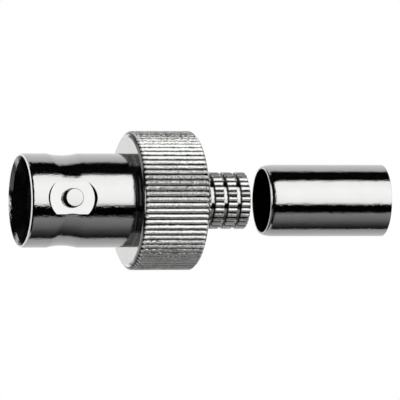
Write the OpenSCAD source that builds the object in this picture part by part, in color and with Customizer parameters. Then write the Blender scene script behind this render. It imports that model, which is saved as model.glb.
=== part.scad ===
// Bayonet coaxial cable jack with a crimp ferrule
// The axis lies along X: the mating face is at x = 0 and looks to -X, and the cable leaves to +X.
// The two bayonet lugs point along +Y and -Y.

/* [Mating shell] */
// Outside diameter of the front tube
shell_d = 9.65; // [9.5:0.05:10.4]
// Bore of the socket
shell_bore_d = 8.12; // [7.9:0.02:8.3]
// Length of the front tube, from the mating face to the ring
shell_len = 11.3; // [10.9:0.1:14]
// Depth of the socket, from the mating face to its floor
socket_depth = 8.4; // [7.8:0.1:8.8]
// Thickness of the socket's floor
web_t = 1.2; // [0.8:0.1:1.4]
// Width of the flat front edge of the mouth
rim_land = 0.06; // [0.03:0.01:0.15]
// Widening of the mouth inside that edge, on the radius
mouth_flare = 0.17; // [0.1:0.01:0.3]
// Depth of that widening along the axis
mouth_flare_len = 0.42; // [0.2:0.02:0.8]
// Depth of the lead-in cone that narrows the mouth to the bore
lead_in_len = 1.6; // [1:0.1:2.4]
// Bevel on the outer front edge
rim_bevel = 0.1; // [0.05:0.01:0.15]
// Height of the slight taper behind that bevel, on the radius
rim_taper = 0.06; // [0.02:0.01:0.1]
// Length of that taper along the axis
rim_taper_len = 0.21; // [0.1:0.01:0.5]
// Width of the relief groove where the tube meets the ring
relief_w = 0.15; // [0.05:0.01:0.3]
// Depth of that groove
relief_depth = 0.08; // [0.03:0.01:0.15]

/* [Bayonet lugs] */
// Diameter of a lug
lug_d = 1.91; // [1.8:0.01:2.1]
// Distance over both lugs
lug_span = 11.07; // [10.6:0.01:11.4]
// Bevel round the end of a lug
lug_bevel = 0.1; // [0.05:0.01:0.2]
// Distance of the lugs from the mating face
lug_x = 4.35; // [3.6:0.05:5.2]
// Diameter of the round flat milled about each lug
flat_d = 4.68; // [3.5:0.02:5.2]
// Depth of that flat below the tube
flat_depth = 0.29; // [0.15:0.01:0.4]
// Widening of the flat's wall from its floor up to the tube, on the radius
flat_flare = 0.25; // [0.05:0.01:0.3]
// Depth of the waist milled between the lugs
waist_depth = 0.2; // [0.1:0.01:0.3]
// Width of the waist along the axis
waist_w = 3.3; // [1.8:0.1:3.8]
// Radius that the arc of the waist has more than the tube, so that the waist fades out beside the flats
waist_arc_extra = 0.06; // [0.02:0.01:0.2]

/* [Knurled ring] */
// Diameter of the ring over the knurl
ring_d = 14.3; // [13:0.1:17]
// Length of the ring
ring_len = 7.05; // [6.5:0.05:10]
// Height of the plain bevel at the ring's ends, on the radius
ring_bevel = 0.25; // [0.1:0.01:0.5]
// Length of that bevel along the axis
ring_bevel_len = 0.15; // [0.05:0.01:0.4]
// Teeth of the knurl
knurl_teeth = 75; // [50:1:100]
// Depth of the knurl
knurl_depth = 0.25; // [0.15:0.01:0.34]
// Width of the flat top of a tooth
knurl_land = 0.11; // [0.04:0.01:0.2]
// Length over which the teeth are bevelled at their ends
knurl_bevel_len = 0.3; // [0.1:0.02:0.6]
// Plain strip between the teeth's roots and the ring's own bevel
knurl_strip = 0.05; // [0.02:0.01:0.1]

/* [Crimp neck] */
// Diameter of the neck over its toothed bands
neck_d = 5.86; // [5.2:0.02:6.2]
// Length of the neck behind the ring
neck_len = 5.57; // [4.2:0.01:7]
// Bore for the cable's inner insulation
neck_bore_d = 3.9; // [3.2:0.05:4.1]
// Diameter of the grooves between the bands
groove_d = 5; // [4.5:0.02:5.1]
// Width of a band at its foot
band_w = 1; // [0.7:0.01:1.1]
// Distance from band to band
band_pitch = 1.4; // [1.2:0.05:1.8]
// Slope of a band's sides along the axis
band_slope = 0.05; // [0.04:0.01:0.25]
// Plain lip behind the last band
neck_lip = 0.1; // [0.05:0.01:0.3]
// Teeth round a band
band_teeth = 30; // [20:1:40]
// Depth of those teeth
band_tooth_depth = 0.22; // [0.1:0.01:0.25]
// Width of the flat top of such a tooth
band_land = 0.16; // [0.05:0.01:0.25]
// Length of the neck's root that is pressed into the shell
neck_root_len = 3; // [2:0.1:3.4]
// Bevel at the mouth of the neck's bore
neck_mouth_bevel = 0.2; // [0.1:0.02:0.24]

/* [Insulators] */
// Diameter of the chamber behind the socket's floor
chamber_d = 8; // [7.4:0.05:8.2]
// Diameter of the insulator's nose in the socket
nose_d = 4.72; // [4.5:0.02:4.8]
// Distance of the nose from the mating face
nose_recess = 3.1; // [2.6:0.1:3.6]
// Thickness of the flange on the nose
nose_flange_t = 2.4; // [1.8:0.1:2.6]
// Clearance round a piece that slips into another, on the radius
slip_gap = 0.03; // [0.01:0.01:0.05]

/* [Centre contact] */
// Diameter of the contact's slotted sleeve
contact_d = 2.1; // [1.9:0.02:2.3]
// Bore of the sleeve
contact_bore_d = 1.38; // [1.3:0.01:1.45]
// Depth of that bore
contact_bore_len = 5; // [4.4:0.1:6]
// Distance of the contact behind the nose's face
contact_recess = 0.3; // [0.1:0.05:0.6]
// Width of the sleeve's slots
slot_w = 0.22; // [0.1:0.01:0.25]
// Length of the slots
slot_len = 3.6; // [2.5:0.1:4.2]
// Diameter of the collar that holds the contact
collar_d = 3.2; // [2.6:0.05:3.8]
// Thickness of the collar
collar_t = 0.8; // [0.5:0.05:1.2]
// Diameter of the barrel for the cable's conductor
barrel_d = 1.9; // [1.6:0.05:2.2]
// Bore of the barrel
barrel_bore_d = 1; // [0.8:0.05:1.2]
// Distance of the barrel's end from the neck's root
barrel_recess = 0.15; // [0.05:0.05:0.4]

/* [Crimp ferrule] */
// Outside diameter of the ferrule
ferrule_d = 7.4; // [7:0.05:8]
// Wall of the ferrule
ferrule_wall = 0.425; // [0.3:0.005:0.45]
// Length of the ferrule
ferrule_len = 13; // [8:0.1:16]
// Gap from the ring to the ferrule where it lies before it is pushed home
ferrule_gap = 7.45; // [7.2:0.05:14]
// Height of the rounding at the ferrule's front, on the radius
ferrule_nose = 0.28; // [0.1:0.01:0.29]
// Length of that rounding along the axis
ferrule_nose_len = 1.3; // [0.4:0.05:1.6]
// Bevel on the ferrule's rear edge
ferrule_bevel = 0.1; // [0.05:0.01:0.16]

/* [Hidden] */
$fn = 96;

// Overrun of every cutting shape past the faces that it cuts
over = 1;

// Places along the axis, from the mating face
ring_front = shell_len;
ring_rear = ring_front + ring_len;
chamber_front = socket_depth + web_t;
collar_front = chamber_front + nose_flange_t;
neck_root = ring_rear - neck_root_len;
neck_end = ring_rear + neck_len;
contact_tip = nose_recess + contact_recess;
barrel_end = neck_root - barrel_recess;
ferrule_front = ring_rear + ferrule_gap;

// Radii
shell_r = shell_d / 2;
shell_bore_r = shell_bore_d / 2;
rim_r = shell_r - rim_taper;
mouth_r = rim_r - rim_bevel - rim_land;
ring_r = ring_d / 2;
ring_corner_r = ring_r - knurl_depth - knurl_strip;
flat_r = shell_r - flat_depth;
chamber_r = chamber_d / 2;
insulator_r = chamber_r - slip_gap;
nose_r = nose_d / 2;
neck_r = neck_d / 2;
groove_r = groove_d / 2;
contact_r = contact_d / 2;
collar_r = collar_d / 2;
barrel_r = barrel_d / 2;

// The waist is milled along an arc about a centre beyond the axis
waist_arc_r = shell_r + waist_arc_extra;
waist_arc_shift = waist_arc_r - (shell_r - waist_depth);
waist_tool_r = (waist_depth + pow(waist_w / 2, 2) / waist_depth) / 2;

// As many bands as the neck has room for, counted from its end
band_count = floor((neck_len - neck_lip + band_pitch - band_w) / band_pitch);

// Turns a shape drawn along Z on to the part's axis
module on_axis() {
  rotate([0, 90, 0]) children();
}

// A solid of revolution from points of radius and distance along the axis
module turned(points) {
  rotate_extrude() polygon(points);
}

// A bar with both ends bevelled along an edge line of points of radius and distance from the end.
// The line's last stretch runs on past its radius, so that it cuts teeth of that radius clean.
module bevelled_blank(edge, length) {
  last = len(edge) - 1;
  stretch = edge[last] - edge[last - 1];
  run_on = edge[last] + stretch * over / 4 / stretch[0];
  front = [for (i = [0 : last]) i < last ? edge[i] : run_on];
  turned([
    [0, 0],
    each front,
    for (i = [last : -1 : 0]) [front[i][0], length - front[i][1]],
    [0, length]
  ]);
}

// A bar with straight teeth, each with a flat top and two sloped flanks that meet the next tooth's
module toothed_bar(tip_r, depth, teeth, land, length) {
  half_land = asin(land / 2 / tip_r);
  half_pitch = 180 / teeth;
  corners = [[tip_r, -half_land], [tip_r, half_land], [tip_r - depth, half_pitch]];
  linear_extrude(length)
    polygon([
      for (i = [0 : teeth - 1], corner = corners)
        let (r = corner[0], a = corner[1] + 2 * half_pitch * i)
          [r * cos(a), r * sin(a)]
    ]);
}

module shell_tube() {
  turned([
    [0, 0],
    [rim_r - rim_bevel, 0],
    [rim_r, rim_bevel],
    [shell_r, rim_bevel + rim_taper_len],
    [shell_r, ring_front - relief_w],
    [shell_r - relief_depth, ring_front - relief_w],
    [shell_r - relief_depth, ring_front + over],
    [0, ring_front + over]
  ]);
}

module knurled_ring() {
  intersection() {
    translate([0, 0, ring_front - over])
      toothed_bar(ring_r, knurl_depth, knurl_teeth, knurl_land, ring_len + 2 * over);
    translate([0, 0, ring_front])
      bevelled_blank([
        [ring_corner_r - ring_bevel, 0],
        [ring_corner_r, ring_bevel_len],
        [ring_r, ring_bevel_len + knurl_bevel_len]
      ], ring_len);
  }
}

// Both lugs, each from inside the tube's wall to its end
module lugs() {
  for (side = [-1, 1])
    translate([0, 0, lug_x])
      rotate([-90 * side, 0, 0])
        turned([
          [0, shell_bore_r - over],
          [lug_d / 2, shell_bore_r - over],
          [lug_d / 2, lug_span / 2 - lug_bevel],
          [lug_d / 2 - lug_bevel, lug_span / 2],
          [0, lug_span / 2]
        ]);
}

// The cutters of both flats, whose walls lean outwards and run on past the tube
module lug_flats() {
  height = flat_depth + over;
  for (side = [-1, 1])
    translate([0, 0, lug_x])
      rotate([-90 * side, 0, 0])
        translate([0, 0, flat_r])
          cylinder(r1 = flat_d / 2, r2 = flat_d / 2 + flat_flare * height / flat_depth, h = height);
}

module waists() {
  for (side = [-1, 1])
    translate([-side * waist_arc_shift, 0, lug_x])
      rotate_extrude()
        translate([waist_arc_r + waist_tool_r, 0])
          circle(r = waist_tool_r);
}

// The socket, the hole in its floor and the chamber behind
module shell_hollow() {
  turned([
    [0, -over],
    [mouth_r, -over],
    [mouth_r, 0],
    [mouth_r - mouth_flare, mouth_flare_len],
    [shell_bore_r, lead_in_len],
    [shell_bore_r, socket_depth],
    [nose_r + slip_gap, socket_depth],
    [nose_r + slip_gap, chamber_front],
    [chamber_r, chamber_front],
    [chamber_r, ring_rear + over],
    [0, ring_rear + over]
  ]);
}

module body_shell() {
  color("silver")
    on_axis()
      difference() {
        union() {
          difference() {
            shell_tube();
            lug_flats();
            waists();
          }
          knurled_ring();
          lugs();
        }
        shell_hollow();
      }
}

// Toothed bands with sloped sides
module neck_bands() {
  intersection() {
    translate([0, 0, ring_rear - over])
      toothed_bar(neck_r, band_tooth_depth, band_teeth, band_land, neck_len + 2 * over);
    for (i = [0 : band_count - 1])
      translate([0, 0, neck_end - neck_lip - band_w - i * band_pitch])
        bevelled_blank([[groove_r, 0], [neck_r, band_slope]], band_w);
  }
}

module crimp_neck() {
  color("silver")
    on_axis()
      difference() {
        union() {
          turned([
            [0, neck_root],
            [insulator_r, neck_root],
            [insulator_r, ring_rear],
            [groove_r, ring_rear],
            [groove_r, neck_end],
            [0, neck_end]
          ]);
          neck_bands();
        }
        turned([
          [0, neck_root - over],
          [neck_bore_d / 2, neck_root - over],
          [neck_bore_d / 2, neck_end - neck_mouth_bevel],
          [neck_bore_d / 2 + neck_mouth_bevel, neck_end],
          [neck_bore_d / 2 + neck_mouth_bevel, neck_end + over],
          [0, neck_end + over]
        ]);
      }
}

module front_insulator() {
  color("ivory")
    on_axis()
      turned([
        [contact_r + slip_gap, nose_recess],
        [nose_r, nose_recess],
        [nose_r, chamber_front],
        [insulator_r, chamber_front],
        [insulator_r, collar_front],
        [contact_r + slip_gap, collar_front]
      ]);
}

module rear_insulator() {
  color("ivory")
    on_axis()
      turned([
        [collar_r + slip_gap, collar_front],
        [insulator_r, collar_front],
        [insulator_r, neck_root],
        [barrel_r + slip_gap, neck_root],
        [barrel_r + slip_gap, collar_front + collar_t],
        [collar_r + slip_gap, collar_front + collar_t]
      ]);
}

module centre_contact() {
  color("gold")
    on_axis()
      difference() {
        turned([
          [0, contact_tip],
          [contact_r, contact_tip],
          [contact_r, collar_front],
          [collar_r, collar_front],
          [collar_r, collar_front + collar_t],
          [barrel_r, collar_front + collar_t],
          [barrel_r, barrel_end],
          [0, barrel_end]
        ]);
        translate([0, 0, contact_tip - over])
          cylinder(d = contact_bore_d, h = contact_bore_len + over);
        translate([0, 0, collar_front + collar_t])
          cylinder(d = barrel_bore_d, h = barrel_end - collar_front - collar_t + over);
        for (turn = [45, 135])
          rotate(turn)
            translate([-contact_d, -slot_w / 2, contact_tip - over])
              cube([2 * contact_d, slot_w, slot_len + over]);
      }
}

// A plain tube, rounded at the front along a quarter of an ellipse so that it starts easily over the braid
module crimp_ferrule() {
  inner_r = ferrule_d / 2 - ferrule_wall;
  outer_r = ferrule_d / 2;
  nose_step = 90 / 8;
  color("silver")
    on_axis()
      translate([0, 0, ferrule_front])
        turned([
          [inner_r, 0],
          for (a = [0 : nose_step : 90])
            [outer_r - ferrule_nose * (1 - sin(a)), ferrule_nose_len * (1 - cos(a))],
          [outer_r, ferrule_len - ferrule_bevel],
          [outer_r - ferrule_bevel, ferrule_len],
          [inner_r, ferrule_len]
        ]);
}

body_shell();
crimp_neck();
front_insulator();
rear_insulator();
centre_contact();
crimp_ferrule();
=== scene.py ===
# %% [markdown]
# # A bayonet coaxial cable jack
#
# This lesson dresses a small turned connector: a polished nickel tube with two bayonet lugs, a knurled
# ring, a toothed crimp neck and a loose ferrule. The solid model is loaded first and stays as it is. It
# gives the places, and every mesh made below stands for one of its solids.

# %% Load the solid model
import math

import bmesh
import bpy
from mathutils import Matrix, Vector


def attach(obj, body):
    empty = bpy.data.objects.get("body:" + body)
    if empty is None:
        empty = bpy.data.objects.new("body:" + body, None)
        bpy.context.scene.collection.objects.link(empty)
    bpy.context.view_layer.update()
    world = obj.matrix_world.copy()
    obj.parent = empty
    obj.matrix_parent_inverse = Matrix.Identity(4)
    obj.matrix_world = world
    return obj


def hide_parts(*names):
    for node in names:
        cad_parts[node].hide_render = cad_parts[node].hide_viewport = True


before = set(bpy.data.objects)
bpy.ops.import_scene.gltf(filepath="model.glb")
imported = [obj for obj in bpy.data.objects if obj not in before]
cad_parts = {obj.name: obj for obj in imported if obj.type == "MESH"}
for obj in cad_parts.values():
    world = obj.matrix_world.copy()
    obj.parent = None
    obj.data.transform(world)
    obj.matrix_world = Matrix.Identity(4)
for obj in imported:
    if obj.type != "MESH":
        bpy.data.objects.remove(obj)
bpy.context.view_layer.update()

MM = 0.001

# %% [markdown]
# ## Camera
# The picture is taken from far away with a long lens: circles at both ends of the object look almost
# equally open. The lens looks a little from the mating end and very slightly from below, because the
# near lug sits just above the middle of the tube. The axis runs level across the picture, so the camera
# is rolled until the X axis is level, instead of keeping it upright.

# %% Camera from the picture's angles
CAMERA_AZIMUTH = -16.3
CAMERA_ELEVATION = -3.0
CAMERA_DISTANCE = 0.674
PICTURE_WIDTH = 0.0412
AIM = Vector((0.01918, 0.0, 0.00005))

turn = math.radians(CAMERA_AZIMUTH)
rise = math.radians(CAMERA_ELEVATION)
back = Vector((math.sin(turn) * math.cos(rise), -math.cos(turn) * math.cos(rise), math.sin(rise)))
axis = Vector((1.0, 0.0, 0.0))
right = (axis - axis.dot(back) * back).normalized()
up = back.cross(right)

camera_data = bpy.data.cameras.new("camera")
camera_data.sensor_width = 36.0
camera_data.lens = camera_data.sensor_width * CAMERA_DISTANCE / PICTURE_WIDTH
camera_data.clip_end = 10.0
camera = bpy.data.objects.new("camera", camera_data)
bpy.context.scene.collection.objects.link(camera)
pose = Matrix((right, up, back)).transposed().to_4x4()
pose.translation = AIM + back * CAMERA_DISTANCE
camera.matrix_world = pose
bpy.context.scene.camera = camera
bpy.context.scene.view_settings.view_transform = "Standard"
print("lens", round(camera_data.lens), "mm")

# %% [markdown]
# ## Nodes and colours
# Materials and the world are node trees. One helper adds a node, sets its properties and fills its
# sockets with values or links. A second one turns a hex colour, as a colour picker shows it, into the
# linear numbers that the renderer works with. The short ones after them stand for what most trees here
# need: a sum, a mix of two colours, a range taken to another one, a noise and a bump sized in
# millimetres, and the distance from the axis.

# %% Helpers for node trees


def add(tree, kind, sockets=None, **settings):
    """Adds a node with its settings; a socket takes a value or a link from another socket."""
    made = tree.nodes.new(kind)
    for name, value in settings.items():
        setattr(made, name, value)
    for name, value in (sockets or {}).items():
        if isinstance(value, bpy.types.NodeSocket):
            tree.links.new(value, made.inputs[name])
        else:
            made.inputs[name].default_value = value
    return made


def linear(hex_colour):
    """An sRGB hex colour as linear RGBA."""
    shares = [int(hex_colour[i : i + 2], 16) / 255 for i in (1, 3, 5)]
    return [s / 12.92 if s <= 0.04045 else ((s + 0.055) / 1.055) ** 2.4 for s in shares] + [1.0]


def maths(tree, operation, *values):
    """The result of one sum on values or sockets."""
    return add(tree, "ShaderNodeMath", dict(enumerate(values)), operation=operation).outputs["Value"]


def mixed(tree, share, under, over):
    """A mix of two colours, from under at share 0 to over at share 1."""
    return add(tree, "ShaderNodeMix", {"Factor": share, 6: under, 7: over}, data_type="RGBA").outputs[2]


def mapped(tree, value, source, target=(0.0, 1.0)):
    """A value taken from one range to another and held at its ends."""
    ends = {"From Min": source[0], "From Max": source[1], "To Min": target[0], "To Max": target[1]}
    return add(tree, "ShaderNodeMapRange", {"Value": value, **ends}).outputs["Result"]


def noise(tree, spot, size_mm, detail):
    """A noise with grains of about the given size."""
    sockets = {"Vector": spot, "Scale": 1 / (size_mm * MM), "Detail": detail}
    return add(tree, "ShaderNodeTexNoise", sockets).outputs["Fac"]


def bumped(tree, height, depth_mm, under=None):
    """A bump of the given depth, on top of another one where there is one."""
    sockets = {"Height": height, "Distance": depth_mm * MM}
    if under is not None:
        sockets["Normal"] = under
    return add(tree, "ShaderNodeBump", sockets).outputs["Normal"]


def from_axis(tree, spot):
    """The distance of a point from the X axis."""
    across = add(tree, "ShaderNodeVectorMath", {0: spot, 1: (0.0, 1.0, 1.0)}, operation="MULTIPLY")
    length = add(tree, "ShaderNodeVectorMath", {0: across.outputs["Vector"]}, operation="LENGTH")
    return length.outputs["Value"]


def new_material(name):
    """A material with an empty node tree."""
    made = bpy.data.materials.new(name)
    made.use_nodes = True
    made.node_tree.nodes.clear()
    return made


print("mid grey is", [round(c, 3) for c in linear("#808080")])

# %% [markdown]
# ## Studio
# Polished metal has hardly any colour of its own: it shows the studio. The long stripes on the tube are
# a white softbox in front, a black flag above it, a dark table edge and a grey table below, and a pale
# wall behind. Lamps and cards could stand round the object, but a world that holds the studio as
# stripes round the X axis is exact and quick. Left of the softbox stands a dark panel, with a grey edge
# and a darker corner in front of it: they make the black line behind the rims and beside the lug.
# Further left there is a second light, then darkness, and a pale card closes each end of the axis, so
# that flat end faces are light. Only mirror rays see all this. The camera and matt surfaces see plain
# white, so the ground of the picture is white and the light is soft.

# %% Stripes of the studio, as degrees round the axis and brightness
BLACK = 0.001
GROUND = [(-180, 0.74), (-111, 0.37), (-109.5, BLACK)]
TABLE = [
    (-104.5, BLACK), (-103, 0.012), (-94, 0.03), (-82, 0.075), (-72, 0.14), (-60, 0.2), (-45, 0.25),
    (-43.5, BLACK),
]
SOFTBOX = [(-15.5, BLACK), (-14.5, 0.95), (-8, 1.12), (5, 1.22), (28, 1.27), (48, 1.2), (70, 1.05)]
WALL = [(104, BLACK), (105, 0.5), (140, 0.7), (180, 0.88)]
PANEL = [
    (-180, 1.2), (-167, 1.15), (-158, 0.4), (-148, 0.1), (-133, 0.04), (-90, 0.1), (-33, 0.1),
    (-30, BLACK), (98, BLACK), (100, 0.1), (140, 0.06), (148, 0.1), (158, 0.4), (167, 1.15), (180, 1.2),
]
CORNER = [
    (-180, 1.2), (-172, 1.15), (-167, 0.15), (-148, 0.08), (-133, 0.04), (-95, 0.02), (-90, BLACK),
    (90, BLACK), (95, 0.02), (133, 0.04), (148, 0.08), (167, 0.15), (172, 1.15), (180, 1.2),
]
PANEL_EDGE = [
    (-180, 1.2), (-167, 1.15), (-158, 0.5), (-133, 0.5), (-90, 0.5), (-87, BLACK),
    (90, BLACK), (92, 0.5), (140, 0.55), (158, 0.6), (167, 1.15), (180, 1.2),
]
SIDE_LIGHT = [
    (-180, 0.8), (-160, 0.7), (-150, 0.25), (-110, 0.2), (-104, 0.1), (-60, 0.25), (-45, 0.3),
    (-43.5, BLACK), (-15.5, BLACK), (-14.5, 0.95), (5, 1.2), (62, 1.1), (64, BLACK), (90, BLACK),
    (105, 0.2), (150, 0.25), (160, 0.7), (180, 0.9),
]
print("softbox from", SOFTBOX[0][0], "degrees, black flag up to", WALL[0][0], "degrees")

# %% [markdown]
# ## Studio: round the axis
# Each list of stripes becomes a colour ramp round the axis. How far a ray leans along the axis tells
# which list it sees, from the softbox in front to the far left, with a short blur between two lists.
# The top of the softbox is cut at a slant, because the edge of its reflection climbs along the tube.

# %% The studio round the axis
SOFTBOX_TOP = 56.5
SOFTBOX_SLANT = 19.0
SOFTBOX_LEFT = -0.05
PANEL_EDGE_LEFT = -0.23
CORNER_LEFT = -0.33
PANEL_LEFT = -0.58
SIDE_LIGHT_LEFT = -0.87
EDGE_BLUR = 0.02
END_CARD = (0.98, 0.986)
CARD_LEVEL = 0.9

world = bpy.data.worlds.new("studio")
bpy.context.scene.world = world
world.use_nodes = True
tree = world.node_tree
tree.nodes.clear()
look = add(tree, "ShaderNodeTexCoord").outputs["Generated"]
along, across, height = add(tree, "ShaderNodeSeparateXYZ", {"Vector": look}).outputs
towards = maths(tree, "MULTIPLY", across, -1.0)
angle = maths(tree, "ARCTAN2", height, towards)
place = mapped(tree, angle, (-math.pi, math.pi))


def grey(level):
    """An even grey."""
    return (level, level, level, 1.0)


def stripes(stops):
    """A ramp round the axis from stops of degrees and brightness."""
    made = add(tree, "ShaderNodeValToRGB", {"Fac": place})
    elements = made.color_ramp.elements
    elements.remove(elements[1])
    for i, (degrees, level) in enumerate(stops):
        stop = elements[0] if i == 0 else elements.new(1.0)
        stop.position = degrees / 360 + 0.5
        stop.color = grey(level)
    return made.outputs["Color"]


def left_of(edge, over, zones):
    """Puts a colour over the zones left of an edge along the axis."""
    return mixed(tree, mapped(tree, along, (edge - EDGE_BLUR, edge)), over, zones)


top = math.radians(SOFTBOX_TOP)
above_slant = maths(tree, "MULTIPLY_ADD", along, -math.radians(SOFTBOX_SLANT), angle)
above_softbox = mapped(tree, above_slant, (top, top + EDGE_BLUR))
lit = stripes(GROUND + TABLE + SOFTBOX + WALL)
zones = mixed(tree, above_softbox, lit, stripes(GROUND + TABLE + WALL))
zones = left_of(SOFTBOX_LEFT, stripes(PANEL_EDGE), zones)
zones = left_of(PANEL_EDGE_LEFT, stripes(CORNER), zones)
zones = left_of(CORNER_LEFT, stripes(PANEL), zones)
zones = left_of(PANEL_LEFT, stripes(SIDE_LIGHT), zones)
zones = left_of(SIDE_LIGHT_LEFT, grey(BLACK), zones)
on_card = mapped(tree, maths(tree, "ABSOLUTE", along), END_CARD)
studio = mixed(tree, on_card, zones, grey(CARD_LEVEL))
mirror_ray = add(tree, "ShaderNodeLightPath").outputs["Is Glossy Ray"]
light = add(tree, "ShaderNodeBackground", {"Color": mixed(tree, mirror_ray, grey(1.0), studio)})
add(tree, "ShaderNodeOutputWorld", {"Surface": light.outputs["Background"]})
print("studio zones change at", PANEL_LEFT, PANEL_EDGE_LEFT, SOFTBOX_LEFT, "along the axis")

# %% [markdown]
# ## Nickel
# The shell, the neck and the ferrule are turned from brass, polished and plated with bright nickel: a
# near mirror with a neutral colour. What keeps it from looking computed is a faint cloudiness some
# millimetres wide, a gloss that changes at a quarter of a millimetre from handling, a waviness left by
# the polishing wheel, and a fine grain. The last two bend the edges of the reflected stripes, so they
# are bump and not colour.

# %% A plated metal
CLOUD_MM = 3.0
WEAR_MM = 0.25
WEAR_RANGE = (0.3, 0.7)
WAVE_MM = 1.4
GRAIN_MM = 0.16


def metal(name, bright, dull, rough, wave_mm, grain_mm):
    """A plated metal: cloudy colour, a range of worn gloss, and the depths of a waviness and a grain."""
    made = new_material(name)
    tree = made.node_tree
    spot = add(tree, "ShaderNodeTexCoord").outputs["Object"]
    wavy = bumped(tree, noise(tree, spot, WAVE_MM, 1.0), wave_mm)
    shader = add(
        tree, "ShaderNodeBsdfPrincipled",
        {
            "Base Color": mixed(tree, noise(tree, spot, CLOUD_MM, 3.0), linear(bright), linear(dull)),
            "Roughness": mapped(tree, noise(tree, spot, WEAR_MM, 4.0), WEAR_RANGE, rough),
            "Normal": bumped(tree, noise(tree, spot, GRAIN_MM, 2.0), grain_mm, wavy),
            "Metallic": 1.0,
        },
    )
    add(tree, "ShaderNodeOutputMaterial", {"Surface": shader.outputs["BSDF"]})
    return made


NICKEL_BRIGHT = "#DFDFDE"
NICKEL_DULL = "#D6D6D5"
polished_nickel = metal(
    "polished_nickel", NICKEL_BRIGHT, NICKEL_DULL, rough=(0.03, 0.06), wave_mm=0.02, grain_mm=0.012
)
milled_nickel = metal(
    "milled_nickel", "#E6E6E5", "#D8D8D7", rough=(0.04, 0.08), wave_mm=0.01, grain_mm=0.004
)
print("made", polished_nickel.name, "and", milled_nickel.name)

# %% [markdown]
# ## Rolled teeth and bores
# A knurl is pressed in with a hardened roller and never polished: the roller tears the surface a
# little, so the same plating is grainy there. The valleys get painted shade, near black, in an uneven
# line. The radius of a point tells how deep it lies between the teeth, and a fine noise is added to
# it. The crests often show a broken seam where the metal didn't quite close. The tooth ends on the
# ring's bevels are torn and pale, with painted shade in the gaps between them, and there the angle
# round the axis tells teeth from gaps: it is counted as a share of the pitch, 0 on a crest and 0.5 in
# a valley. The dull bores are painted near black as shade, and the walls round the lugs dark grey as
# painted shade.

# %% Toothed nickel with painted shade, and bores and walls painted dark as shade
ROLLED_BRIGHT = "#FAFAF8"
ROLLED_DULL = "#F2F2F0"
# painted shade: the near-black colour of the valleys and of the gaps between tooth ends
VALLEY_SHADE = "#0C0C0C"
CRUMB_MM = 0.14
CRUMB_DEPTH_MM = 0.2
CRUMB_SHARE = 0.4
TEETH = 75
BAND_TEETH = 30
SEAM = (-0.03, 0.07)
SEAM_TONE = 0.4
NO_SEAM = (-0.6, -0.5)
# where the gaps between tooth ends get painted shade, as shares of the pitch
GAP_SHADE = (0.16, 0.22)
NO_GAP_SHADE = (0.9, 1.0)


def with_tooth_shade(made, teeth, valley_r_mm, metal_share, seam=NO_SEAM, gap=NO_GAP_SHADE):
    """Paints uneven shade into valleys and the gaps between tooth ends, and darkens a seam on crests."""
    tree = made.node_tree
    shader = tree.nodes["Principled BSDF"]
    plain = shader.inputs["Base Color"].links[0].from_socket
    spot = add(tree, "ShaderNodeTexCoord").outputs["Object"]
    crumbs = noise(tree, spot, CRUMB_MM, 2.0)
    radius = maths(tree, "MULTIPLY_ADD", crumbs, CRUMB_DEPTH_MM * MM, from_axis(tree, spot))
    out_of_valley_shade = mapped(tree, radius, [(r + CRUMB_DEPTH_MM / 2) * MM for r in valley_r_mm])
    _, y, z = add(tree, "ShaderNodeSeparateXYZ", {"Vector": spot}).outputs
    count = maths(tree, "MULTIPLY", maths(tree, "ARCTAN2", z, y), teeth / math.tau)
    share = maths(tree, "MULTIPLY_ADD", crumbs, CRUMB_SHARE, maths(tree, "PINGPONG", count, 0.5))
    beside_seam = mapped(tree, share, [s + CRUMB_SHARE / 2 for s in seam], (SEAM_TONE, 1.0))
    out_of_gap_shade = mapped(tree, share, [s + CRUMB_SHARE / 2 for s in gap], (1.0, 0.0))
    unshaded = maths(tree, "MINIMUM", maths(tree, "MINIMUM", out_of_valley_shade, beside_seam), out_of_gap_shade)
    tree.links.new(mixed(tree, unshaded, linear(VALLEY_SHADE), plain), shader.inputs["Base Color"])
    shader.inputs["Metallic"].default_value = metal_share


# the valleys of the knurl and the bands, and the gaps between tooth ends, get painted shade
knurled_nickel_and_valley_shade = metal(
    "knurled_nickel_and_valley_shade", ROLLED_BRIGHT, ROLLED_DULL, rough=(0.05, 0.1), wave_mm=0.03, grain_mm=0.06
)
with_tooth_shade(knurled_nickel_and_valley_shade, TEETH, valley_r_mm=(6.95, 6.98), metal_share=0.88, seam=SEAM)
banded_nickel_and_valley_shade = metal(
    "banded_nickel_and_valley_shade", ROLLED_BRIGHT, NICKEL_BRIGHT, rough=(0.05, 0.1), wave_mm=0.02, grain_mm=0.02
)
with_tooth_shade(banded_nickel_and_valley_shade, BAND_TEETH, valley_r_mm=(2.74, 2.83), metal_share=0.8)
tooth_ends_and_gap_shade = metal(
    "tooth_ends_and_gap_shade", ROLLED_BRIGHT, NICKEL_BRIGHT, rough=(0.3, 0.45), wave_mm=0.01, grain_mm=0.02
)
with_tooth_shade(tooth_ends_and_gap_shade, TEETH, valley_r_mm=(6.88, 6.94), metal_share=0.3, gap=GAP_SHADE)
# painted shade: the bores are coloured near black
bore_painted_shade = metal(
    "bore_painted_shade", "#2E2E2D", "#242424", rough=(0.25, 0.4), wave_mm=0.01, grain_mm=0.01
)
# painted shade: the walls round the lugs are coloured dark grey
wall_painted_shade = metal(
    "wall_painted_shade", "#505050", "#444444", rough=(0.12, 0.2), wave_mm=0.01, grain_mm=0.005
)
for made in (knurled_nickel_and_valley_shade, banded_nickel_and_valley_shade, tooth_ends_and_gap_shade, bore_painted_shade, wall_painted_shade):
    print("made", made.name)
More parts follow.
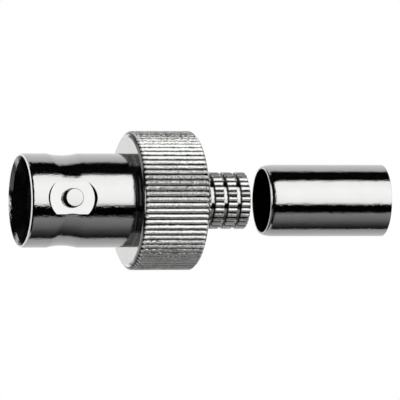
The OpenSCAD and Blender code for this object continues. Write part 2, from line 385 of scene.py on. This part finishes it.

# %% [markdown]
# ## Stoned edges and turned faces
# The rims of the tube and the ferrule are broken with a fine stone after turning. Their highlight is
# painted in: a near-white matt shader with only a little metal in it, so such an edge looks pale from
# every side. The ring's end faces are left as turned: the cutter's rings, a tenth of a millimetre
# apart, follow the distance from the axis.

# %% Stoned edge with a painted highlight, and turned face
# painted highlight: so little metal that the near-white edge looks lit from every side
STONED_HIGHLIGHT_METAL = 0.1
TURNING_MM = 0.11
TURNING_DEPTH_MM = 0.0003
stoned_edge_and_highlight = metal(
    "stoned_edge_and_highlight", "#FAFAF9", "#F0F0EF", rough=(0.4, 0.55), wave_mm=0.004, grain_mm=0.002
)
stoned_edge_and_highlight.node_tree.nodes["Principled BSDF"].inputs["Metallic"].default_value = STONED_HIGHLIGHT_METAL
turned_nickel = metal(
    "turned_nickel", "#BEBEBD", "#B4B4B3", rough=(0.08, 0.13), wave_mm=0.01, grain_mm=0.003
)
tree = turned_nickel.node_tree
normal = tree.nodes["Principled BSDF"].inputs["Normal"]
spot = add(tree, "ShaderNodeTexCoord").outputs["Object"]
phase = maths(tree, "MULTIPLY", from_axis(tree, spot), math.tau / (TURNING_MM * MM))
marks = bumped(tree, maths(tree, "SINE", phase), TURNING_DEPTH_MM, normal.links[0].from_socket)
tree.links.new(marks, normal)
print("made", stoned_edge_and_highlight.name, "and", turned_nickel.name)

# %% [markdown]
# ## Gold plating
# The centre contact is gold plated over bright brass. Its colour is a reddish yellow, and the plating
# follows the turned surface below it, so it is less of a mirror than the polished shell.

# %% Gold
gold_plating = metal(
    "gold_plating", "#EBC46E", "#DDB25A", rough=(0.12, 0.2), wave_mm=0.004, grain_mm=0.001
)
print("made", gold_plating.name)

# %% [markdown]
# ## Machined PTFE
# The insulators are turned from a white PTFE rod. It is a waxy, slightly milky white without gloss, and
# the cutter leaves fine marks about a tenth of a millimetre wide.

# %% PTFE
MILKY_MM = 1.5
TOOL_MARK_MM = 0.12
TOOL_MARK_DEPTH_MM = 0.004
WAXY = (0.4, 0.6)
PTFE_IOR = 1.35
machined_ptfe = new_material("machined_ptfe")
tree = machined_ptfe.node_tree
spot = add(tree, "ShaderNodeTexCoord").outputs["Object"]
milky = noise(tree, spot, MILKY_MM, 3.0)
cut = noise(tree, spot, TOOL_MARK_MM, 2.0)
shader = add(
    tree, "ShaderNodeBsdfPrincipled",
    {
        "Base Color": mixed(tree, milky, linear("#EFEDE7"), linear("#E2DFD7")),
        "Roughness": mapped(tree, cut, (0.0, 1.0), WAXY),
        "Normal": bumped(tree, cut, TOOL_MARK_DEPTH_MM),
        "IOR": PTFE_IOR,
    },
)
add(tree, "ShaderNodeOutputMaterial", {"Surface": shader.outputs["BSDF"]})
print("made", machined_ptfe.name)

# %% [markdown]
# ## Turned pieces
# Everything here comes off a lathe, so a piece starts as a closed outline of points: distance along the
# axis, radius, and the radius of a rounded corner where there is one. The corner points are bevelled
# while the outline is still a bare line, which is lighter than a bevel round the finished piece, and
# one full spin makes the solid. All of it is in millimetres, where Blender's merge distances are safely
# small, and the finished mesh is scaled to metres once.

# %% Helpers for turned pieces
CORNER_STEPS = 4
STEPS_PER_TOOTH = 4
MERGE = 1e-4
NEAR = 0.002
CLOSE = 0.01
SHARP_DEGREES = 30
WORN_DEGREES = 60


def turned(outline, steps, closed=True):
    """Spins an outline of (along the axis, radius, corner) points round the X axis."""
    bm = bmesh.new()
    points = [bm.verts.new((x, r, 0.0)) for x, r, corner in outline]
    ends = points[1:] + points[:1] if closed else points[1:]
    for pair in zip(points, ends):
        bm.edges.new(pair)
    for point, (x, r, corner) in zip(points, outline):
        if corner:
            bmesh.ops.bevel(
                bm, geom=[point], offset=corner, offset_type="OFFSET", affect="VERTICES",
                segments=CORNER_STEPS, profile=0.5, material=-1,
            )
    bmesh.ops.spin(
        bm, geom=bm.verts[:] + bm.edges[:], axis=(1, 0, 0), cent=(0, 0, 0), angle=math.tau, steps=steps,
        use_merge=True,
    )
    bmesh.ops.remove_doubles(bm, verts=bm.verts[:], dist=MERGE)
    bmesh.ops.recalc_face_normals(bm, faces=bm.faces[:])
    return bm


def around(vert):
    """Radius of a vertex about the axis, and its angle from +Y towards +Z in degrees."""
    return math.hypot(vert.co.y, vert.co.z), math.degrees(math.atan2(vert.co.z, vert.co.y)) % 360


def middle_of(face):
    """Middle of a face as distance along the axis and radius."""
    middle = face.calc_center_median()
    return middle.x, math.hypot(middle.y, middle.z)


def move_to(vert, x, r, degrees):
    """Puts a vertex at a distance along the axis, a radius and an angle."""
    a = math.radians(degrees)
    vert.co = (x, r * math.cos(a), r * math.sin(a))


def on_tooth(degrees, pitch, profile):
    """New angle and depth of a point, from a tooth's profile of (share of the pitch, depth) points."""
    tooth, corner = divmod(round(degrees / pitch * STEPS_PER_TOOTH), STEPS_PER_TOOTH)
    share, depth = profile[corner]
    return pitch * (tooth + share), depth


def combined(bm, tool, operation):
    """Cuts a tool out of a mesh, or joins it on, with the exact Boolean modifier."""
    halves = []
    for half in (bm, tool):
        mesh = bpy.data.meshes.new("half")
        half.to_mesh(mesh)
        half.free()
        halves.append(bpy.data.objects.new("half", mesh))
        bpy.context.scene.collection.objects.link(halves[-1])
    boolean = halves[0].modifiers.new("combine", "BOOLEAN")
    boolean.solver = "EXACT"
    boolean.operation = operation
    boolean.object = halves[1]
    depsgraph = bpy.context.evaluated_depsgraph_get()
    result = bmesh.new()
    result.from_object(halves[0], depsgraph)
    for half in halves:
        bpy.data.meshes.remove(half.data)
    bmesh.ops.remove_doubles(result, verts=result.verts[:], dist=MERGE)
    return result


def made_piece(bm, name, body, node, materials, sharp_degrees=SHARP_DEGREES, worn=None):
    """Shades a mesh in millimetres, scales it to metres and puts it in the place of a solid."""
    for face in bm.faces:
        face.smooth = True
    for edge in bm.edges:
        finishes = [materials[face.material_index] for face in edge.link_faces]
        on_crest = edge.is_convex and all(finish == worn for finish in finishes)
        limit = WORN_DEGREES if on_crest else sharp_degrees
        edge.smooth = edge.smooth and edge.calc_face_angle(0.0) < math.radians(limit)
    bmesh.ops.scale(bm, vec=(MM, MM, MM), verts=bm.verts[:])
    mesh = bpy.data.meshes.new(name)
    bm.to_mesh(mesh)
    bm.free()
    for material in materials:
        mesh.materials.append(material)
    piece = bpy.data.objects.new(name, mesh)
    bpy.context.scene.collection.objects.link(piece)
    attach(piece, body)
    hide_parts(node)
    print(name, "has", len(mesh.polygons), "faces and stands for", node)


# %% [markdown]
# ## Shell: outline
# The shell is one turned piece: the thin socket tube with a flared mouth, the thick ring, the floor of
# the socket and the chamber behind it. Some loops are there only so that later steps can move them: a
# row of them in the waist between the lugs, and the loops at the ends of the knurl. A loop beside a
# rounded or bevelled corner keeps the shading of the long stretch next to it straight.

# %% Shell outline and spin
TUBE_R = 4.825
BORE_R = 4.06
LEAD_IN_END = 1.6
LEAD_IN_R = 4.435
FLARE_END = 0.42
MOUTH_R = 4.605
RIM_BEVEL = 0.1
RIM_R = 4.765
TAPER_END = 0.31
LUG_X = 4.35
WAIST_HALF = 1.65
WAIST_LOOPS = 16
RING_FRONT = 11.3
RING_REAR = 18.35
RING_R = 7.15
RELIEF_W = 0.15
BESIDE = 0.12
RELIEF_R = 4.745
FACE_R = 6.6
FACE_EDGE = 0.05
CORNER_R = 6.85
CORNER_IN = 0.15
KNURL_IN = 0.45
CHAMBER_R = 4.0
CHAMBER_FRONT = 9.6
FLOOR_X = 8.4
FLOOR_HOLE_R = 2.39

waist_x = [LUG_X + WAIST_HALF * (2 * i / WAIST_LOOPS - 1) for i in range(WAIST_LOOPS + 1)]
shell_outline = [
    (LEAD_IN_END, BORE_R, 0.3),
    (FLARE_END, LEAD_IN_R, 0.03),
    (0.0, MOUTH_R, 0.02),
    (0.0, RIM_R - RIM_BEVEL, 0),
    (RIM_BEVEL, RIM_R, 0),
    (TAPER_END, TUBE_R, 0.08),
    (TAPER_END + BESIDE, TUBE_R, 0),
    *[(x, TUBE_R, 0) for x in waist_x],
    (RING_FRONT - RELIEF_W - BESIDE, TUBE_R, 0),
    (RING_FRONT - RELIEF_W, TUBE_R, 0.02),
    (RING_FRONT - RELIEF_W, RELIEF_R, 0),
    (RING_FRONT, RELIEF_R, 0),
    (RING_FRONT, FACE_R - FACE_EDGE, 0),
    (RING_FRONT + FACE_EDGE / 2, FACE_R, 0),
    (RING_FRONT + CORNER_IN, CORNER_R, 0),
    (RING_FRONT + KNURL_IN, RING_R, 0),
    (RING_FRONT + KNURL_IN + BESIDE, RING_R, 0),
    (RING_REAR - KNURL_IN - BESIDE, RING_R, 0),
    (RING_REAR - KNURL_IN, RING_R, 0),
    (RING_REAR - CORNER_IN, CORNER_R, 0),
    (RING_REAR - FACE_EDGE / 2, FACE_R, 0),
    (RING_REAR, FACE_R - FACE_EDGE, 0),
    (RING_REAR, CHAMBER_R, 0.08),
    (CHAMBER_FRONT, CHAMBER_R, 0),
    (CHAMBER_FRONT, FLOOR_HOLE_R, 0),
    (FLOOR_X, FLOOR_HOLE_R, 0.06),
    (FLOOR_X, BORE_R, 0.15),
]
shell = turned(shell_outline, TEETH * STEPS_PER_TOOTH)
print("shell has", len(shell.verts), "points")

# %% [markdown]
# ## Shell: knurl
# The straight knurl has 75 teeth, about 0.6 mm apart, with narrow lands and sloped flanks. Four points
# of a loop make one tooth, and each is pressed in by its place on the tooth. At the ring's bevelled
# ends the roots run out nearer to the face than the tips do, so a pressed point also slides along the
# bevel, which gives the row of small points round each end. Handling wears the crests, so their edges
# are shaded round later.

# %% Knurl from four points a tooth
TOOTH = [(-0.09, 0.0), (0.09, 0.0), (0.47, 0.25), (0.53, 0.25)]
pitch = 360 / TEETH
bevel_slope = (KNURL_IN - CORNER_IN) / (RING_R - CORNER_R)
for vert in shell.verts:
    r, degrees = around(vert)
    if r > RING_R - CLOSE:
        new_degrees, depth = on_tooth(degrees, pitch, TOOTH)
        slide = depth * bevel_slope
        x = vert.co.x + (slide if vert.co.x > (RING_FRONT + RING_REAR) / 2 else -slide)
        move_to(vert, x, RING_R - depth, new_degrees)
print("knurl pitch", round(math.tau * RING_R / TEETH, 2), "mm")

# %% [markdown]
# ## Shell: waist
# Between the lugs the tube is milled slightly hollow, 0.2 mm at the top and the bottom and fading out
# towards the lugs. The cutter runs along an arc a little wider than the tube, about a centre beyond the
# axis. The loops in that stretch are pressed in by the same rule. The two edges are crisp, so they are
# kept sharp when the piece is shaded.

# %% Waist pressed into its loops
WAIST_DEPTH = 0.2
WAIST_ARC_SHIFT = 0.26
for vert in shell.verts:
    r, degrees = around(vert)
    if abs(r - TUBE_R) < CLOSE and abs(vert.co.x - LUG_X) < WAIST_HALF - CLOSE:
        hollow = 1 - ((vert.co.x - LUG_X) / WAIST_HALF) ** 2
        from_side = abs(math.sin(math.radians(degrees)))
        depth = max(0.0, WAIST_DEPTH * hollow - WAIST_ARC_SHIFT * (1 - from_side))
        move_to(vert, vert.co.x, TUBE_R - depth, degrees)
print("waist from", round(waist_x[0], 2), "to", round(waist_x[-1], 2), "mm")

# %% [markdown]
# ## Shell: lugs in their flats
# A round flat is milled across the tube at each lug, and the lug stands up from it. The cutter's side
# leans outwards, so a short cone in a Boolean difference is the plain way to make the flat: its edge
# comes out as the right curve where it meets the tube. The lug is a short pin with a rounded end
# and a small fillet at its foot, joined on.

# %% Flats and lugs
FLAT_R = 2.34
FLAT_Y = 4.535
FLAT_FLARE = 0.86
LUG_R = 0.955
LUG_FOOT = 4.3
LUG_END = 5.535
LUG_ROUND = 0.1
FOOT_FILLET = 0.1
FOOT_SUNK = 0.012
CUT_HEIGHT = 1.0
ROUND_STEPS = 96


def at_lug(bm, side):
    """Turns a piece made along X so that it stands on one side of the tube, at the lug."""
    stand = Matrix.Translation((LUG_X, 0, 0)) @ Matrix.Rotation(side * math.pi / 2, 4, "Z")
    bmesh.ops.transform(bm, matrix=stand, verts=bm.verts[:])
    return bm


cutter_outline = [
    (FLAT_Y, 0, 0),
    (FLAT_Y, FLAT_R, 0),
    (FLAT_Y + CUT_HEIGHT, FLAT_R + FLAT_FLARE * CUT_HEIGHT, 0),
    (FLAT_Y + CUT_HEIGHT, 0, 0),
]
lug_outline = [
    (LUG_FOOT, 0, 0),
    (LUG_FOOT, LUG_R + 2 * FOOT_FILLET, 0),
    (FLAT_Y - FOOT_SUNK, LUG_R + 2 * FOOT_FILLET, 0),
    (FLAT_Y - FOOT_SUNK, LUG_R, FOOT_FILLET),
    (LUG_END, LUG_R, LUG_ROUND),
    (LUG_END, 0, 0),
]
for side in (-1, 1):
    shell = combined(shell, at_lug(turned(cutter_outline, ROUND_STEPS, closed=False), side), "DIFFERENCE")
    shell = combined(shell, at_lug(turned(lug_outline, ROUND_STEPS, closed=False), side), "UNION")
print("shell has", len(shell.verts), "points after milling")

# %% [markdown]
# ## Shell: finish
# The shell carries eight finishes: polished nickel all over, the rolled finish on the teeth and the
# torn one on their ends, both with painted shade between the teeth, a milled one on the flats, painted
# shade on the walls round them and inside, the stoned rim with a painted highlight and the turned end
# faces of the ring. Faces are told apart by where they lie.
# The flats and the waist meet the tube in crisp edges, which would look soft if the shading ran across
# them.

# %% Shell piece
WALL_REACH = 0.4
WALL_LEAN = 0.5
CREASE_BAND = 0.05
KNURL_LEAN = 0.3
END_FACE_LEAN = 0.99
SHELL_SHARP_DEGREES = 24
SHELL_FINISHES = [
    polished_nickel, knurled_nickel_and_valley_shade, milled_nickel, bore_painted_shade, stoned_edge_and_highlight, turned_nickel, wall_painted_shade,
    tooth_ends_and_gap_shade,
]


def on_flat(face):
    """True for the faces on the floor of a lug's flat."""
    return all(abs(abs(vert.co.y) - FLAT_Y) < NEAR for vert in face.verts)


def on_shaded_wall(face):
    """True for the faces round a lug's flat and up the lug's side, which get painted shade."""
    middle = face.calc_center_median()
    out = Vector((middle.x - LUG_X, 0, middle.z))
    lean = abs(face.normal.dot(out.normalized()))
    return abs(middle.y) > FLAT_Y - FOOT_SUNK and out.length < FLAT_R + WALL_REACH and lean > WALL_LEAN


def on_crease(edge, x):
    """True for an edge that runs round the tube at an end of the waist."""
    lowest = TUBE_R - CREASE_BAND
    return all(abs(vert.co.x - x) < NEAR and around(vert)[0] > lowest for vert in edge.verts)


def shell_finish(face):
    """The finish of a face, told by where it lies and how it leans."""
    x, r = middle_of(face)
    lean = abs(face.normal.x)
    if r > CORNER_R:
        return knurled_nickel_and_valley_shade if lean < KNURL_LEAN else tooth_ends_and_gap_shade
    if on_flat(face):
        return milled_nickel
    # the walls round the flats and the bores get painted shade, the rim a painted highlight
    if on_shaded_wall(face):
        return wall_painted_shade
    if x > FLARE_END and r < LEAD_IN_R:
        return bore_painted_shade
    if x < RIM_BEVEL and r > MOUTH_R:
        return stoned_edge_and_highlight
    if lean > END_FACE_LEAN and RELIEF_R < r < FACE_R:
        return turned_nickel
    return polished_nickel


for edge in shell.edges:
    if on_crease(edge, waist_x[0]) or on_crease(edge, waist_x[-1]):
        edge.smooth = False
    if sum(on_flat(face) for face in edge.link_faces) == 1:
        edge.smooth = False
for face in shell.faces:
    face.material_index = SHELL_FINISHES.index(shell_finish(face))
made_piece(
    shell, "bayonet_shell", "jack", "body_shell", SHELL_FINISHES, SHELL_SHARP_DEGREES,
    worn=knurled_nickel_and_valley_shade,
)

# %% [markdown]
# ## Crimp neck: outline
# The cable's braid is crimped on a hollow neck with toothed bands. The outline carries the bands as low
# barrels on a plain cylinder, and the root that is pressed into the shell. The loops beside the ends of
# a band keep its shading flat.

# %% Neck outline
NECK_R = 2.93
GROOVE_R = 2.5
NECK_END = 23.92
NECK_LIP = 0.1
BAND_W = 1.0
BAND_PITCH = 1.4
BAND_COUNT = 4
ROOT_X = 15.35
ROOT_R = 3.97
CABLE_BORE_R = 1.95
MOUTH_BEVEL = 0.2
BAND_END = [(0.02, 0.04), (0.05, 0.0), (0.11, 0.0)]

neck_outline = [
    (ROOT_X, CABLE_BORE_R, 0.05),
    (ROOT_X, ROOT_R, 0.1),
    (RING_REAR, ROOT_R, 0.1),
    (RING_REAR, GROOVE_R, 0),
]
for i in range(BAND_COUNT):
    band_end = NECK_END - NECK_LIP - (BAND_COUNT - 1 - i) * BAND_PITCH
    band_start = band_end - BAND_W
    neck_outline.append((band_start, GROOVE_R, 0))
    neck_outline += [(band_start + inset, NECK_R - drop, 0) for inset, drop in BAND_END]
    neck_outline += [(band_end - inset, NECK_R - drop, 0) for inset, drop in reversed(BAND_END)]
    neck_outline.append((band_end, GROOVE_R, 0))
neck_outline += [
    (NECK_END, GROOVE_R, 0.04),
    (NECK_END, CABLE_BORE_R + MOUTH_BEVEL, 0.03),
    (NECK_END - MOUTH_BEVEL, CABLE_BORE_R, 0),
]
neck = turned(neck_outline, BAND_TEETH * STEPS_PER_TOOTH)
print("neck outline has", len(neck_outline), "points")

# %% [markdown]
# ## Crimp neck: pads
# The points of each band sink between its 30 teeth, by the same rule as the knurl, and leave pads with
# narrow gaps. The pads get the rolled finish with painted shade in their valleys, and the bore is
# painted near black as shade.

# %% Pads round the bands
PAD = [(-0.11, 0.0), (0.11, 0.0), (0.46, 0.23), (0.54, 0.23)]
NECK_FINISHES = [polished_nickel, banded_nickel_and_valley_shade, bore_painted_shade]
for vert in neck.verts:
    r, degrees = around(vert)
    if vert.co.x > RING_REAR + NEAR and r > GROOVE_R + NEAR:
        new_degrees, depth = on_tooth(degrees, 360 / BAND_TEETH, PAD)
        move_to(vert, vert.co.x, r - depth, new_degrees)
# the pads' valleys carry painted shade, and the bore is painted near black as shade
for face in neck.faces:
    x, r = middle_of(face)
    if x > RING_REAR + NEAR and r > GROOVE_R + NEAR:
        face.material_index = NECK_FINISHES.index(banded_nickel_and_valley_shade)
    elif r < CABLE_BORE_R:
        face.material_index = NECK_FINISHES.index(bore_painted_shade)
made_piece(neck, "toothed_neck", "jack", "crimp_neck", NECK_FINISHES, worn=banded_nickel_and_valley_shade)

# %% [markdown]
# ## Crimp ferrule
# The ferrule is a plain thin tube whose front is rounded along a quarter of an ellipse, so that it
# starts easily over the braid. It is loose, so it rides on its own body and can slide over the neck.

# %% Ferrule
FERRULE_FRONT = 25.8
FERRULE_REAR = 38.8
FERRULE_R = 3.7
FERRULE_BORE_R = 3.275
NOSE_DROP = 0.28
NOSE_LEN = 1.3
NOSE_POINTS = 8
STONED_LEN = 0.05
FERRULE_STEPS = 256
FERRULE_FINISHES = [polished_nickel, bore_painted_shade, stoned_edge_and_highlight]
nose_turns = [math.pi / 2 * i / NOSE_POINTS for i in range(NOSE_POINTS + 1)]
ferrule = turned(
    [
        (FERRULE_FRONT, FERRULE_BORE_R, 0.03),
        *[
            (FERRULE_FRONT + NOSE_LEN * (1 - math.cos(a)), FERRULE_R - NOSE_DROP * (1 - math.sin(a)), 0)
            for a in nose_turns
        ],
        (FERRULE_FRONT + NOSE_LEN + BESIDE, FERRULE_R, 0),
        (FERRULE_REAR - BESIDE, FERRULE_R, 0),
        (FERRULE_REAR, FERRULE_R, 0.08),
        (FERRULE_REAR, FERRULE_BORE_R, 0.06),
    ],
    FERRULE_STEPS,
)
# the bore is painted near black as shade, and the front edge carries a painted highlight
for face in ferrule.faces:
    x, r = middle_of(face)
    if r < FERRULE_BORE_R + CLOSE:
        face.material_index = FERRULE_FINISHES.index(bore_painted_shade)
    elif x < FERRULE_FRONT + STONED_LEN:
        face.material_index = FERRULE_FINISHES.index(stoned_edge_and_highlight)
made_piece(ferrule, "crimp_sleeve", "ferrule", "crimp_ferrule", FERRULE_FINISHES)

# %% [markdown]
# ## Insulators
# A white nose stands in the middle of the socket and guides the plug. Its flange sits behind the
# socket's floor. The bush behind it is hidden except through the neck's bore, so its solid stays and
# only gets the material.

# %% Nose and bush
NOSE_FACE = 3.1
NOSE_R = 2.36
NOSE_BORE_R = 1.08
FLANGE_REAR = 12.0
FLANGE_R = 3.97
NOSE_STEPS = 128
nose = turned(
    [
        (NOSE_FACE, NOSE_BORE_R, 0.08),
        (NOSE_FACE, NOSE_R, 0.18),
        (CHAMBER_FRONT, NOSE_R, 0),
        (CHAMBER_FRONT, FLANGE_R, 0.05),
        (FLANGE_REAR, FLANGE_R, 0.05),
        (FLANGE_REAR, NOSE_BORE_R, 0),
    ],
    NOSE_STEPS,
)
made_piece(nose, "insulator_nose", "jack", "front_insulator", [machined_ptfe])
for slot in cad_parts["rear_insulator"].material_slots:
    slot.material = machined_ptfe

# %% [markdown]
# ## Centre contact
# The contact is a gold plated sleeve whose slotted end grips the plug's pin, with a collar in the
# middle and a barrel for the cable's conductor at the back. Both bores end in a drill point, so the
# outline starts and ends on the axis, and the spin's poles are merged. The slots are two crossed saw
# cuts.

# %% Contact
CONTACT_TIP = 3.4
CONTACT_R = 1.05
TIP_BEVEL = 0.14
PIN_BORE_R = 0.69
PIN_BORE_END = 8.4
COLLAR_R = 1.6
COLLAR_REAR = 12.8
BARREL_R = 0.95
BARREL_END = 15.2
BARREL_BORE_R = 0.5
DRILL_POINT = 0.25
SLOT_W = 0.22
SLOT_LEN = 3.6
SLOT_DEGREES = (45, 135)
SAW_FREE = 1.0
CONTACT_STEPS = 72
contact = turned(
    [
        (PIN_BORE_END + DRILL_POINT, 0, 0),
        (PIN_BORE_END, PIN_BORE_R, 0),
        (CONTACT_TIP + TIP_BEVEL, PIN_BORE_R, 0.04),
        (CONTACT_TIP, PIN_BORE_R + TIP_BEVEL, 0.04),
        (CONTACT_TIP, CONTACT_R, 0.1),
        (FLANGE_REAR, CONTACT_R, 0),
        (FLANGE_REAR, COLLAR_R, 0.05),
        (COLLAR_REAR, COLLAR_R, 0.05),
        (COLLAR_REAR, BARREL_R, 0),
        (BARREL_END, BARREL_R, 0.06),
        (BARREL_END, BARREL_BORE_R, 0.06),
        (COLLAR_REAR, BARREL_BORE_R, 0),
        (COLLAR_REAR - DRILL_POINT, 0, 0),
    ],
    CONTACT_STEPS,
    closed=False,
)
for degrees in SLOT_DEGREES:
    saw = bmesh.new()
    bmesh.ops.create_cube(saw, size=1.0)
    bmesh.ops.scale(saw, vec=(SLOT_LEN + SAW_FREE, SLOT_W, 4 * CONTACT_R), verts=saw.verts[:])
    bmesh.ops.translate(saw, vec=(CONTACT_TIP + (SLOT_LEN - SAW_FREE) / 2, 0, 0), verts=saw.verts[:])
    bmesh.ops.rotate(saw, matrix=Matrix.Rotation(math.radians(degrees), 3, "X"), verts=saw.verts[:])
    contact = combined(contact, saw, "DIFFERENCE")
made_piece(contact, "slotted_contact", "jack", "centre_contact", [gold_plating])

# %% [markdown]
# ## Floor
# The part lies on a sheet of pale paper. The camera of the main picture looks from slightly below, so
# the sheet only shows its upper side: from below it is clear. Mirror rays don't see it, because the
# studio's stripes already hold the table.

# %% Paper floor
FLOOR_HALF = 0.8
FIBRE_MM = 0.6
paper = new_material("pale_paper")
tree = paper.node_tree
spot = add(tree, "ShaderNodeTexCoord").outputs["Object"]
sheet = mixed(tree, noise(tree, spot, FIBRE_MM, 2.0), linear("#F6F6F4"), linear("#F2F2F0"))
matt = add(tree, "ShaderNodeBsdfDiffuse", {"Color": sheet})
clear = add(tree, "ShaderNodeBsdfTransparent")
below = add(tree, "ShaderNodeNewGeometry").outputs["Backfacing"]
one_sided = add(
    tree, "ShaderNodeMixShader", {0: below, 1: matt.outputs["BSDF"], 2: clear.outputs["BSDF"]}
)
add(tree, "ShaderNodeOutputMaterial", {"Surface": one_sided.outputs["Shader"]})
floor_mesh = bpy.data.meshes.new("paper_floor")
bm = bmesh.new()
bmesh.ops.create_grid(bm, x_segments=1, y_segments=1, size=FLOOR_HALF)
bmesh.ops.translate(bm, vec=(AIM.x, 0, -RING_R * MM), verts=bm.verts[:])
bm.to_mesh(floor_mesh)
bm.free()
floor_mesh.materials.append(paper)
floor = bpy.data.objects.new("paper_floor", floor_mesh)
floor.visible_glossy = False
bpy.context.scene.collection.objects.link(floor)
print("floor at", -RING_R, "mm")
